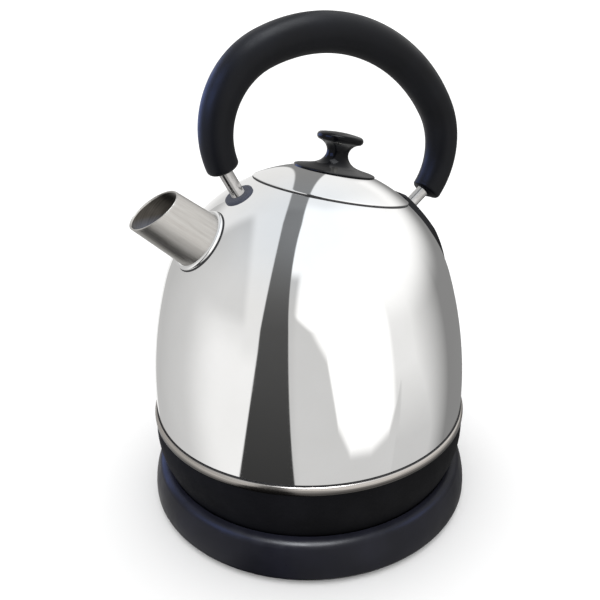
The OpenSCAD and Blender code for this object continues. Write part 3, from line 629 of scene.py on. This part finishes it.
def make_knob():
    """Turned knob: thin flange, one concave sweep up to the cap, low crown on top."""
    flange_r, edge = 22.4, 0.45
    cap_r, cap_n, cap_edge = 12.7, 99.3, 2.15
    bore_r, bore_n = 2.1, 96.0
    top_edge = 82.6
    outline = [(r, sphere_height(LID_OUT, r)) for r in (KNOB_HOLE_R, 6, 10, 14, 18, 21)]
    outline += [(flange_r, sphere_height(LID_OUT, flange_r) + 0.02)]
    outline += arc(flange_r - edge, top_edge - edge, edge, 0, 80, 6)
    sweep = [(21.2, 82.86), (17.5, 83.5), (13.6, 84.3), (10.4, 85.4), (7.9, 87.2), (6.4, 89.5),
             (6.0, 91.6), (6.5, 93.7), (7.9, 95.6), (9.7, 96.8)]
    outline += smooth_curve(sweep, 6)
    outline += arc(cap_r - cap_edge, cap_n, cap_edge, -85, 82, 24)
    crown_r = 60
    crown_n = cap_n + cap_edge + 1 - crown_r
    rise = math.degrees(math.acos((cap_r - cap_edge) / crown_r))
    outline += arc(0, crown_n, crown_r, rise, 89.9, 24)
    outline += [(0.1, bore_n), (bore_r, bore_n)]
    knob = lathe("turned_knob", outline, LID_FRAME, MEDIUM, 40)
    return dress(knob, "gloss_black", "lid", "lid_knob")


# ---------------------------------------------------------------- handle

def arch_station(s):
    """Point and outward normal angle on the handle's centre line. s is -1 at the front end, 0 at
    the top and 1 at the rear end."""
    side = -1 if s < 0 else 1
    wide_n = ARCH_FRONT_N if side < 0 else ARCH_REAR_N
    top_n = ARCH_PEAK_N - ARCH_TOP_R
    reach = ARCH_HALF + side * ARCH_LEAN
    rise = wide_n - top_n
    r = (ARCH_TOP_R ** 2 - reach ** 2 - rise ** 2) / (2 * (ARCH_TOP_R - reach))
    join = math.degrees(math.atan2(rise, reach - r))
    sweep = math.degrees(math.asin((wide_n - GRIP_LOW_N) / ARCH_END_R))
    lengths = [ARCH_TOP_R * (90 - join), r * join, ARCH_END_R * sweep]
    run = abs(s) * sum(lengths)
    if run <= lengths[0]:
        cx, cn, radius, angle = -side * ARCH_LEAN, top_n, ARCH_TOP_R, 90 - run / ARCH_TOP_R
    elif run <= lengths[0] + lengths[1]:
        cx, cn, radius, angle = ARCH_HALF - r, wide_n, r, join - (run - lengths[0]) / r
    else:
        past = run - lengths[0] - lengths[1]
        cx, cn, radius, angle = ARCH_HALF - ARCH_END_R, wide_n, ARCH_END_R, -past / ARCH_END_R
    a = math.radians(angle)
    point = (side * (cx + radius * math.cos(a)), cn + radius * math.sin(a))
    return point, (math.cos(a) * side, math.sin(a)), sum(lengths) * math.pi / 180


def grip_ring(s, inset, sides):
    """One ring of the grip, smaller all round by inset and by a skin that keeps it in the frame."""
    inset += GRIP_SKIN
    (x, n), (ox, on), _ = arch_station(s)
    t = max(0.0, min(1.0, (n - GRIP_LOW_N) / (ARCH_PEAK_N - GRIP_LOW_N)))
    a = GRIP_END_A + (GRIP_TOP_A - GRIP_END_A) * t ** GRIP_SWELL - inset
    b = GRIP_END_B + (GRIP_TOP_B - GRIP_END_B) * (3 - 2 * t) * t * t - inset
    ring = []
    for j in range(sides):
        w = 2 * math.pi * j / sides
        out = a * math.cos(w)
        ring.append((x + out * ox, b * math.sin(w), n + out * on))
    return ring


def grip_end(side, sides):
    """Rings from inside the post's hole, over the end face, to where the end's rounding stops."""
    _, _, length = arch_station(side)
    rounding = 2.2
    hole_r = POST_R + 0.15
    mouth_r = hole_r + 0.35
    rings = []
    for depth, r in ((6.0, hole_r), (0.5, hole_r), (0.0, mouth_r)):
        base = GRIP_LOW_N / math.cos(math.radians(POST_ANGLE)) + depth
        ring = []
        for j in range(sides):
            w = 2 * math.pi * j / sides
            local = Vector((r * math.cos(w) * side, r * math.sin(w), base))
            ring.append(tuple(LID_FRAME.inverted() @ (post_frame(side) @ local)))
        rings.append(ring)
    for k in range(7):
        a = math.radians(90 * k / 6)
        inset = rounding * (1 - math.sin(a))
        back = rounding * (1 - math.cos(a))
        s = side * (1 - back / length)
        rings.append(grip_ring(s, inset, sides))
    return rings


def make_grip():
    """The handle's grip as one sweep, from the front post's hole to the rear one's."""
    sides = 64
    steps = 140
    end_zone = 3.0
    _, _, front_length = arch_station(-1)
    _, _, rear_length = arch_station(1)
    first = -1 + end_zone / front_length
    last = 1 - end_zone / rear_length
    rings = grip_end(-1, sides)
    rings += [grip_ring(first + (last - first) * i / steps, 0, sides) for i in range(steps + 1)]
    rings += reversed(grip_end(1, sides))
    grip = grid_mesh("handle_moulding", rings, LID_FRAME, False, 60)
    return dress(grip, "grip_black", "kettle", "handle_grip")


# ---------------------------------------------------------------- spout

MOUTH_MIDDLE = (SPOUT_TOP + SPOUT_LOW) / 2
MOUTH_SLOPE = (SPOUT_LOW - SPOUT_TOP) / (2 * SPOUT_MOUTH_R)
CONE_SLOPE = (SPOUT_ROOT_R - SPOUT_MOUTH_R) / (MOUTH_MIDDLE - DOME_R)
SPOUT_SINK = 0.4
LIP_R = SPOUT_WALL / 2
LIP_START = 0.45
SPOUT_STEPS = 24


def spout_ring(share, inset, lip):
    """Ring of the spout from the body, share 0, to the mitred mouth, share 1, lip short of it."""
    ring = []
    for j in range(FINE):
        a = 2 * math.pi * j / FINE
        r = SPOUT_ROOT_R - inset
        foot = sphere_height(DOME_R, r) - SPOUT_SINK
        for _ in range(3):
            top = MOUTH_MIDDLE - lip - r * math.cos(a) * MOUTH_SLOPE
            s = foot + (top - foot) * share
            r = SPOUT_ROOT_R - inset - CONE_SLOPE * (s - DOME_R)
        ring.append((r * math.cos(a), r * math.sin(a), s))
    return ring


def spout_side(inset, lip):
    """Rings of one side of the spout's wall, from the body to the mouth."""
    return [spout_ring(i / SPOUT_STEPS, inset, lip) for i in range(SPOUT_STEPS + 1)]


def make_spout():
    """Short tapered tube with a mitred mouth and a rounded lip."""
    rings = spout_side(0, LIP_START)
    for k in range(1, 8):
        a = math.radians(180 * k / 8)
        rings.append(spout_ring(1, LIP_R * (1 - math.cos(a)), LIP_START - LIP_R * math.sin(a)))
    rings += reversed(spout_side(SPOUT_WALL, LIP_START))
    spout = grid_mesh("spout_tube", rings, SPOUT_FRAME, True, 50)
    return dress(spout, "spout_steel", "kettle", "spout")


def make_bore():
    """Thin brushed lining inside the spout, short of its lip."""
    inner, outer, short = SPOUT_WALL + 0.05, SPOUT_WALL - 0.1, 0.9
    rings = spout_side(inner, short)
    rings += reversed(spout_side(outer, short))
    bore = grid_mesh("spout_bore", rings, SPOUT_FRAME, True, 50)
    dress(bore, "spout_steel", "kettle", "spout")
    bore.data.materials[0] = MATERIALS["spout_bore"]
    return bore


def make_collar():
    """Rolled ring round the foot of the spout. Its underside follows the dome."""
    collar_h, sink = 2.3, 0.1
    high = sphere_height(DOME_R, COLLAR_R) + collar_h
    inside = SPOUT_ROOT_R - 0.05
    foot = COLLAR_R - 0.35
    outline = [(inside, sphere_height(DOME_R, inside) - sink), (inside, high - 0.4)]
    outline += arc(COLLAR_R - COLLAR_EDGE, high - COLLAR_EDGE, COLLAR_EDGE, 120, -35, 24)
    outline += [(foot, sphere_height(DOME_R, foot) - sink)]
    collar = lathe("spout_bead", outline, SPOUT_FRAME, FINE, 60)
    return dress(collar, "polished_steel", "kettle", "spout_collar")


def make_collar_shadow_ring():
    """Thin dark ring between the collar and the dome: a painted contact shadow that shows as a dark line
    round the collar.
    """
    low, high, proud = COLLAR_R - 0.6, COLLAR_R + 0.45, 0.22
    inner_n, outer_n = sphere_height(DOME_R, low), sphere_height(DOME_R, high)
    outline = [
        (low, inner_n - proud),
        (low, inner_n + proud),
        (high - 0.15, outer_n + proud),
        (high, outer_n + proud / 2),
        (high, outer_n - proud),
    ]
    # The dark rubber here is painted shadow where the collar meets the dome.
    dress(lathe("collar_shadow_ring", outline, SPOUT_FRAME, FINE, 60), "gasket_rubber", "kettle")


# ---------------------------------------------------------------- studio

CAMERA_AZIMUTH = -29.48
CAMERA_PITCH = 23.40
CAMERA_ROLL = -0.63
CAMERA_REACH = 0.34753
CAMERA_HEIGHT = 0.26862
CAMERA_LENS = 39.33
CAMERA_SHIFT = -0.0130
SENSOR_WIDTH = 36
FLOOR_HALF = 4.0


def make_camera():
    """Camera at the photograph's viewing angle. Angles are in degrees and distances in metres."""
    a, pitch, roll = (math.radians(v) for v in (CAMERA_AZIMUTH, CAMERA_PITCH, CAMERA_ROLL))
    back = Vector((math.sin(a) * math.cos(pitch), -math.cos(a) * math.cos(pitch), math.sin(pitch)))
    level = Vector((math.cos(a), math.sin(a), 0))
    upright = back.cross(level)
    right = level * math.cos(roll) + upright * math.sin(roll)
    up = upright * math.cos(roll) - level * math.sin(roll)
    data = bpy.data.cameras.new("camera")
    data.sensor_width = SENSOR_WIDTH
    data.lens = CAMERA_LENS
    data.shift_x = CAMERA_SHIFT
    data.clip_start = 0.01
    data.clip_end = 50
    camera = bpy.data.objects.new("camera", data)
    bpy.context.scene.collection.objects.link(camera)
    place = Vector((CAMERA_REACH * math.sin(a), -CAMERA_REACH * math.cos(a), CAMERA_HEIGHT))
    turn = Matrix((right, up, back)).transposed().to_4x4()
    camera.matrix_world = Matrix.Translation(place) @ turn
    bpy.context.scene.camera = camera


def make_floor():
    """Plain pale floor, left out of the picture that the polished steel mirrors."""
    size = FLOOR_HALF
    mesh = bpy.data.meshes.new("floor")
    corners = [(-size, -size, 0), (size, -size, 0), (size, size, 0), (-size, size, 0)]
    mesh.from_pydata(corners, [], [(0, 1, 2, 3)])
    floor = bpy.data.objects.new("floor", mesh)
    bpy.context.scene.collection.objects.link(floor)
    paint = Paint("floor_white")
    paint.link(paint.colours(paint.noise(3, 2), (0.90, 0.90, 0.90), (0.92, 0.92, 0.92)),
               paint.shader.inputs["Base Color"])
    paint.set(Roughness=0.9, Specular_IOR_Level=0.1)
    mesh.materials.append(paint.material)
    floor.visible_glossy = False


class Studio:
    """Node tree of the surroundings that the steel reflects. Angles are in degrees."""

    def __init__(self, tree):
        self.tree = tree
        direction = tree.nodes.new("ShaderNodeTexCoord").outputs["Generated"]
        parts = tree.nodes.new("ShaderNodeSeparateXYZ")
        tree.links.new(direction, parts.inputs["Vector"])
        self.x, self.y, self.z = (parts.outputs[i] for i in range(3))
        self.azimuth = self.math("DEGREES", self.math("ARCTAN2", self.x, self.math("MULTIPLY", self.y, -1)))
        self.elevation = self.math("DEGREES", self.math("ARCSINE", self.z))

    def math(self, operation, first, second=0.0):
        if operation == "DEGREES":
            return self.math("MULTIPLY", first, 180 / math.pi)
        made = self.tree.nodes.new("ShaderNodeMath")
        made.operation = operation
        for slot, value in ((0, first), (1, second)):
            if isinstance(value, (int, float)):
                made.inputs[slot].default_value = value
            else:
                self.tree.links.new(value, made.inputs[slot])
        return made.outputs["Value"]

    def ramp(self, value, start, stop, low=0.0, high=1.0, soft=True):
        made = self.tree.nodes.new("ShaderNodeMapRange")
        made.interpolation_type = "SMOOTHSTEP" if soft else "LINEAR"
        for name, number in (("From Min", start), ("From Max", stop), ("To Min", low), ("To Max", high)):
            made.inputs[name].default_value = number
        self.tree.links.new(value, made.inputs["Value"])
        return made.outputs["Result"]

    def line(self, value, slope, start, height):
        """Straight line that passes through height where value is start."""
        return self.math("ADD", self.math("MULTIPLY", value, slope), height - slope * start)

    def component(self, azimuth):
        """How far the direction points towards an azimuth, from -1 to 1."""
        a = math.radians(azimuth)
        return self.math("SUBTRACT", self.math("MULTIPLY", self.x, math.sin(a)),
                         self.math("MULTIPLY", self.y, math.cos(a)))

    def both(self, first, second):
        return self.math("MULTIPLY", first, second)

    def blend(self, mask, below, above):
        """below where mask is 0, above where it is 1."""
        made = self.tree.nodes.new("ShaderNodeMix")
        made.data_type = "FLOAT"
        for name, value in (("Factor", mask), ("A", below), ("B", above)):
            if isinstance(value, (int, float)):
                made.inputs[name].default_value = value
            else:
                self.tree.links.new(value, made.inputs[name])
        return made.outputs["Result"]


# Glossy rays see a room drawn by direction, set to give the reflections that the
# photograph shows on the steel. Every other ray sees an even white. Levels are strengths.
STRIPE_AZIMUTH = -43.2
WINDOW = 1.15
TABLE = 0.64
EVEN_WHITE = 1.35
GAP_SOFTNESS = 0.008


def left_wall(studio, across, along):
    """Pale wall on the left: brighter near the dark gap, and brightest low down in front."""
    azimuth, elevation = studio.azimuth, studio.elevation
    wall = studio.ramp(azimuth, -165, -100, 0.53, 0.70, False)
    pool = studio.both(studio.ramp(azimuth, -130, -92), studio.ramp(elevation, 16, -6))
    wall = studio.blend(pool, wall, 0.94)
    near = studio.both(studio.ramp(across, 0.60, 0.50), studio.ramp(elevation, -6, 4))
    wall = studio.blend(near, wall, 0.85)
    behind = studio.both(studio.ramp(along, -0.1, -0.3), studio.ramp(elevation, 15, 30))
    return studio.blend(behind, wall, 0.84)


def front_window(studio, across, along):
    """Bright window over a grey table in front, which dims towards the right side of the room."""
    azimuth, elevation = studio.azimuth, studio.elevation
    gentle, steep = studio.line(azimuth, -0.87, -18, 1), studio.line(azimuth, -3.2, -17, 0)
    shoulder = studio.math("MINIMUM", gentle, steep)
    left = studio.math("MAXIMUM", shoulder, studio.line(azimuth, -1.0, -8, -24))
    gentle, steep = studio.line(azimuth, 0.35, 14, -31), studio.line(azimuth, 1.6, 29, -23)
    rise = studio.math("MAXIMUM", gentle, steep)
    right = studio.math("MAXIMUM", studio.math("MINIMUM", rise, -12), -31)
    above = studio.math("SUBTRACT", elevation, studio.math("MAXIMUM", left, right))
    table = studio.both(studio.ramp(above, 2.5, -2.5), studio.ramp(azimuth, 42, 34))
    table = studio.both(table, studio.ramp(elevation, 40, 30))
    level = studio.blend(table, WINDOW, TABLE)
    beside = studio.both(studio.ramp(across, -0.11, -0.03), studio.ramp(elevation, 54, 44))
    level = studio.blend(beside, level, 0.60)

    side = studio.ramp(azimuth, 34, 88, WINDOW, 0.25, False)
    dusk = studio.ramp(elevation, -30, -10, 0.60, 0.88, False)
    low = studio.blend(studio.ramp(azimuth, 29, 33), WINDOW, dusk)
    side = studio.blend(studio.ramp(elevation, -3, 27), studio.math("MINIMUM", side, low), WINDOW)
    level = studio.math("MINIMUM", level, side)
    back = studio.both(studio.ramp(along, -0.2, -0.4), studio.ramp(azimuth, 95, 125))
    return studio.blend(studio.both(back, studio.ramp(elevation, 18, 32)), level, 0.96)


def studio_level(studio):
    """Brightness of the surroundings by direction. A dark gap between the left wall and the window
    runs up and over the kettle; across and along are measured from the plane of that gap."""
    z = studio.z
    along = studio.component(STRIPE_AZIMUTH)
    across = studio.component(STRIPE_AZIMUTH - 90)
    behind = studio.math("MAXIMUM", studio.math("MULTIPLY", along, -1), 0.0)
    side = studio.ramp(across, 0.10, 0.20)
    level = studio.blend(side, front_window(studio, across, along), left_wall(studio, across, along))

    right = studio.math("SUBTRACT", across, studio.math("MULTIPLY", z, 0.055))
    right = studio.math("SUBTRACT", right, studio.math("MULTIPLY", behind, 0.08))
    left = studio.math("SUBTRACT", studio.line(z, -0.12, 0, 0.372), across)
    left = studio.math("SUBTRACT", left, studio.math("MULTIPLY", behind, 0.05))
    left = studio.math("SUBTRACT", left, studio.math("MULTIPLY", studio.math("MINIMUM", z, 0.0), 0.07))
    gap = studio.both(studio.ramp(right, -GAP_SOFTNESS, GAP_SOFTNESS),
                      studio.ramp(left, -GAP_SOFTNESS, GAP_SOFTNESS))
    up = studio.math("POWER", studio.math("MAXIMUM", z, 0.0), 3.0)
    shade = studio.math("ADD", studio.line(z, 0.05, 0, 0.072), studio.math("MULTIPLY", up, 0.11))
    shade = studio.blend(studio.ramp(along, -0.15, -0.3), shade, 0.26)
    return studio.blend(gap, level, shade)


def make_world():
    """Even white light, with the drawn room in its place for glossy rays."""
    world = bpy.data.worlds.new("studio")
    bpy.context.scene.world = world
    world.use_nodes = True
    tree = world.node_tree
    tree.nodes.clear()
    studio = Studio(tree)
    level = studio_level(studio)

    sky = tree.nodes.new("ShaderNodeMix")
    sky.data_type = "RGBA"
    sky.inputs["A"].default_value = (1.0, 0.995, 0.985, 1)
    sky.inputs["B"].default_value = (0.93, 0.965, 1.0, 1)
    tree.links.new(studio.ramp(studio.elevation, 20, 75), sky.inputs["Factor"])

    mirrored = tree.nodes.new("ShaderNodeBackground")
    tree.links.new(sky.outputs["Result"], mirrored.inputs["Color"])
    tree.links.new(level, mirrored.inputs["Strength"])
    plain = tree.nodes.new("ShaderNodeBackground")
    plain.inputs["Color"].default_value = (1, 1, 1, 1)
    plain.inputs["Strength"].default_value = EVEN_WHITE
    path = tree.nodes.new("ShaderNodeLightPath")
    choose = tree.nodes.new("ShaderNodeMixShader")
    tree.links.new(path.outputs["Is Glossy Ray"], choose.inputs["Fac"])
    tree.links.new(plain.outputs["Background"], choose.inputs[1])
    tree.links.new(mirrored.outputs["Background"], choose.inputs[2])
    out = tree.nodes.new("ShaderNodeOutputWorld")
    tree.links.new(choose.outputs["Shader"], out.inputs["Surface"])


def soft_light(name, place, aim, size, strength, colour, lit):
    """Square soft light that only falls on the pieces in lit. Place, aim and size are in metres."""
    data = bpy.data.lights.new(name, "AREA")
    data.shape = "SQUARE"
    data.size = size
    data.energy = strength * math.pi * size * size
    data.color = colour
    light = bpy.data.objects.new(name, data)
    bpy.context.scene.collection.objects.link(light)
    place, aim = Vector(place), Vector(aim)
    light.location = place
    light.rotation_mode = "QUATERNION"
    light.rotation_quaternion = (place - aim).to_track_quat("Z", "Y")
    receivers = bpy.data.collections.new(name + "_receivers")
    for thing in lit:
        receivers.objects.link(thing)
    light.light_linking.receiver_collection = receivers
    return light


def pieces_in(*slots):
    """The mesh pieces, shown or hidden, whose first material is any of the named ones."""
    wanted = [MATERIALS[slot] for slot in slots]
    return [thing for thing in bpy.context.scene.objects
            if thing.type == "MESH" and thing.data.materials and thing.data.materials[0] in wanted]


def make_lights():
    """Softboxes that draw the highlights on the dark mouldings, the bead and the spout."""
    white, blue = (0.93, 0.96, 1.0), (0.25, 0.38, 1.0)
    handle = pieces_in("grip_black", "gloss_black", "gauge_black", "skirt_black")
    bead = pieces_in("rim_steel")
    base = pieces_in("satin_black")
    spout = pieces_in("spout_steel")
    soft_light("overhead", (0.0, -0.05, 1.0), (0, 0, 0.1), 0.5, 6.0, white, handle)
    soft_light("over_spout", (-0.1, 0.1, 1.0), (-0.1, 0, 0.17), 0.35, 5.0, white, spout)
    soft_light("over_bead", (-0.1, -0.25, 1.0), (0, 0, 0.1), 0.4, 9.0, white, bead)
    soft_light("over_base", (-0.35, -0.52, 1.0), (0, 0, 0), 0.5, 46.0, white, base)
    soft_light("sky_back", (-0.55, 1.2, 0.45), (0, 0, 0.2), 0.9, 2.5, blue, handle + base)
    soft_light("sky_left", (-1.1, 0.1, 0.8), (0, 0, 0.1), 0.7, 5.0, blue, handle + base)
    soft_light("sky_right", (0.9, -0.75, 0.8), (0, 0, 0.1), 0.6, 3.5, blue, base)


# ---------------------------------------------------------------- the scene

make_camera()
dress_nodes()
make_body()
make_rim()
make_lid()
keep_off_steel(make_knob(), make_grip(), make_spout(), make_collar())
make_collar_shadow_ring()
make_lid_gap_shadow()
keep_off_steel(make_bore())
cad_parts["handle_posts"].material_slots[0].material = MATERIALS["post_steel"]
keep_off_steel(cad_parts["handle_posts"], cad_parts["front_washer"])
make_floor()
make_lights()
make_world()
bpy.context.scene.view_settings.view_transform = "Standard"
